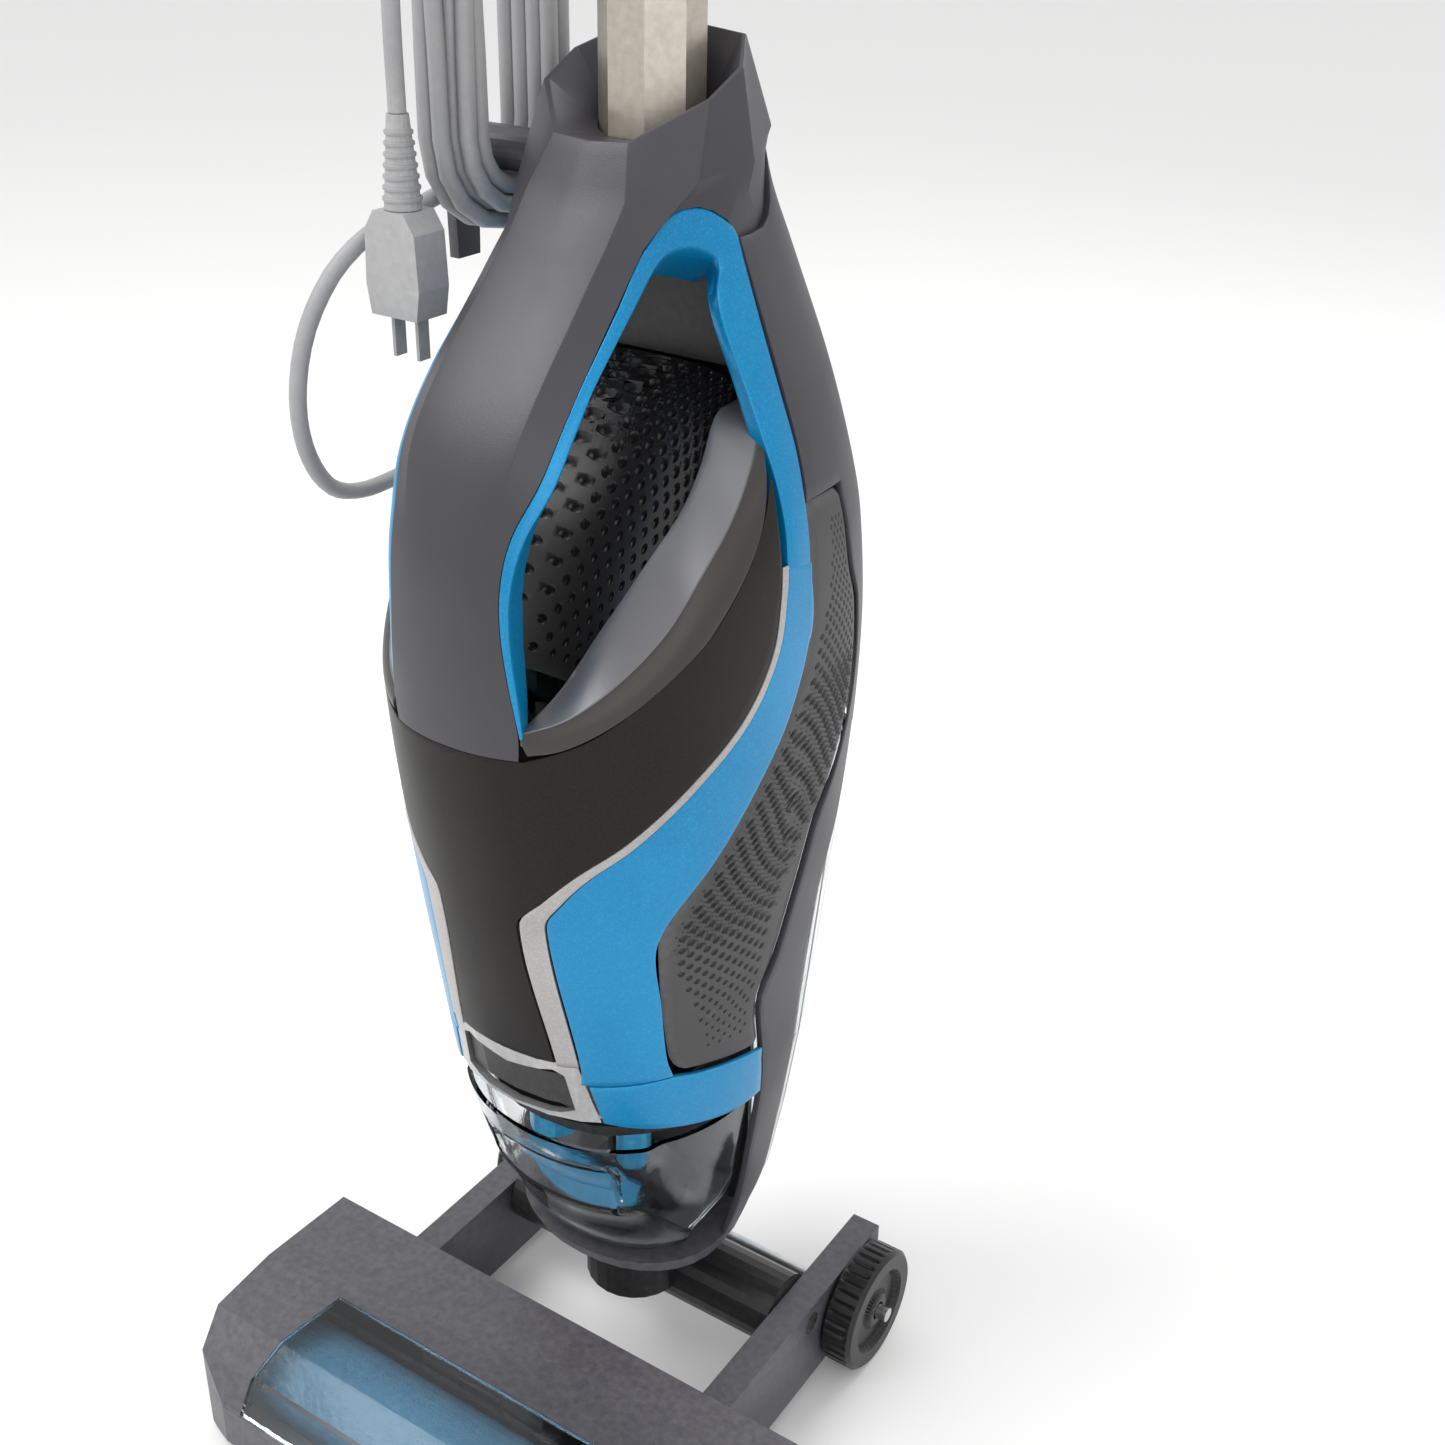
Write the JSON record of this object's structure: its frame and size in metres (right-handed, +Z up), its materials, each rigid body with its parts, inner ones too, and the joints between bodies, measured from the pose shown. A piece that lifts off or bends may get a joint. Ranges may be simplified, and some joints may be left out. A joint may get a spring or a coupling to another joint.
{
  "type": "carpet cleaner machine",
  "caption": "Upright wet floor washer: leaf-shaped housing with carry handle, clear front and rear tanks, pole and grip, wheeled floor head with a driven brush roll.",
  "frame": {"origin": "centre of the footprint, on the floor", "axes": "+Z up, the front of the machine faces -Y, X = 0 is its mirror plane"},
  "size_m": [0.3, 0.294, 1.13],
  "materials": {
    "charcoal": "satin moulded",
    "black": "gloss",
    "blue": "metallic gloss",
    "silver": "satin chrome paint",
    "satin_grey": "satin",
    "inset_grey": "textured",
    "pole_metal": "anodised champagne",
    "steel": "brushed",
    "rubber": "matte",
    "white_plastic": "matte",
    "board": "solder mask",
    "fibre": "tufted fibre",
    "clear": "clear moulded"
  },
  "bodies": {
    "foot": {"foot_base": "charcoal", "foot_cover": "charcoal", "brush_window": "clear", "squeegee": "rubber", "brush_motor": "steel", "hinge_axle": "steel", "wheel_axle": "steel", "drive_belt": "rubber"},
    "brush": {"brush_roll": "fibre", "brush_core": "black"},
    "motor_drive": {"motor_pulley": "steel"},
    "wheel_l": {"wheel_left": "black"},
    "wheel_r": {"wheel_right": "black"},
    "neck": {"neck_yoke": "black"},
    "upright": {"carry_handle": "charcoal", "side_frame_left": "blue", "side_frame_right": "blue", "pinstripe_left": "silver", "pinstripe_right": "silver", "front_panel": "black", "crescent_ledge_left": "satin_grey", "crescent_ledge_right": "satin_grey", "grille_cover": "black", "spine_shell": "charcoal", "base_cap": "charcoal", "grip_inset_left": "inset_grey", "grip_inset_right": "inset_grey", "opening_back_wall": "black", "latch_frame": "silver", "chassis": "black", "vacuum_motor": "steel", "fan_housing": "black", "water_pump": "black", "circuit_board": "board", "tank_catch": "charcoal", "pole": "pole_metal", "pole_socket": "black", "grip": "charcoal", "hook_collar": "black", "cord_hook_lower": "charcoal", "cord_hank": "rubber", "cord_lead": "rubber", "cord_tail": "rubber", "cord_gland": "rubber", "plug_strain_relief": "rubber", "plug_body": "rubber"},
    "release_key": {"tank_release_button": "black"},
    "fan": {"fan_wheel": "white_plastic"},
    "front_tank": {"dirty_tank": "clear", "dirty_tank_lid": "black", "float_cage": "blue", "inlet_tube": "blue", "tank_strainer": "blue"},
    "float": {"float_ball": "white_plastic"},
    "rear_tank": {"clean_tank": "clear"},
    "tank_cap": {"clean_tank_cap": "blue"},
    "trigger": {"spray_trigger": "blue"},
    "power_key": {"power_button": "blue"},
    "mode_key": {"mode_button": "satin_grey"},
    "upper_hook": {"cord_hook_upper": "charcoal"}
  },
  "joints": [
    {"name": "recline", "type": "hinge", "parent": "foot", "child": "neck", "pos_m": [0, 0.056, 0.05], "axis": [-1, 0, 0], "range_deg": [0, 60]},
    {"name": "swivel", "type": "hinge", "parent": "neck", "child": "upright", "pos_m": [0, 0.04, 0.1], "axis": [0, 0, 1], "range_deg": [-20, 20]},
    {"name": "brush_spin", "type": "hinge", "parent": "foot", "child": "brush", "pos_m": [0, -0.103, 0.027], "axis": [1, 0, 0], "continuous": true},
    {"name": "motor_spin", "type": "hinge", "parent": "foot", "child": "motor_drive", "pos_m": [0, -0.0505, 0.034], "axis": [1, 0, 0], "continuous": true},
    {"name": "wheel_left_spin", "type": "hinge", "parent": "foot", "child": "wheel_l", "pos_m": [-0.112, 0.098, 0.034], "axis": [1, 0, 0], "continuous": true},
    {"name": "wheel_right_spin", "type": "hinge", "parent": "foot", "child": "wheel_r", "pos_m": [0.112, 0.098, 0.034], "axis": [1, 0, 0], "continuous": true},
    {"name": "front_tank_slide", "type": "slide", "parent": "upright", "child": "front_tank", "axis": [0, -1, 0], "range_m": [0, 0.12]},
    {"name": "float_rise", "type": "slide", "parent": "front_tank", "child": "float", "axis": [0, 0, 1], "range_m": [0, 0.008]},
    {"name": "rear_tank_slide", "type": "slide", "parent": "upright", "child": "rear_tank", "axis": [0, 1, 0], "range_m": [0, 0.1]},
    {"name": "cap_turn", "type": "hinge", "parent": "rear_tank", "child": "tank_cap", "pos_m": [0, 0.114, 0.124], "axis": [0, 0, -1], "range_deg": [0, 90]},
    {"name": "release_press", "type": "slide", "parent": "upright", "child": "release_key", "axis": [0, 1, 0], "range_m": [0, 0.004], "stiffness_N_per_m": 400},
    {"name": "power_press", "type": "slide", "parent": "upright", "child": "power_key", "axis": [0, -0.581, -0.8139], "range_m": [0, 0.002], "stiffness_N_per_m": 500},
    {"name": "mode_press", "type": "slide", "parent": "upright", "child": "mode_key", "axis": [0, -0.2764, -0.9611], "range_m": [0, 0.002], "stiffness_N_per_m": 500},
    {"name": "trigger_pull", "type": "hinge", "parent": "upright", "child": "trigger", "pos_m": [0, 0.001, 1.04], "axis": [1, 0, 0], "range_deg": [0, 8], "stiffness_Nm_per_rad": 0.4},
    {"name": "fan_spin", "type": "hinge", "parent": "upright", "child": "fan", "pos_m": [0, 0.016, 0.4], "axis": [0, 0, 1], "continuous": true},
    {"name": "hook_turn", "type": "hinge", "parent": "upright", "child": "upper_hook", "pos_m": [0, 0.042, 0.9], "axis": [1, 0, 0], "range_deg": [0, 180]}
  ],
  "couplings": [
    {"joint": "motor_spin", "follows": "brush_spin", "ratio": 1.5714}
  ]
}
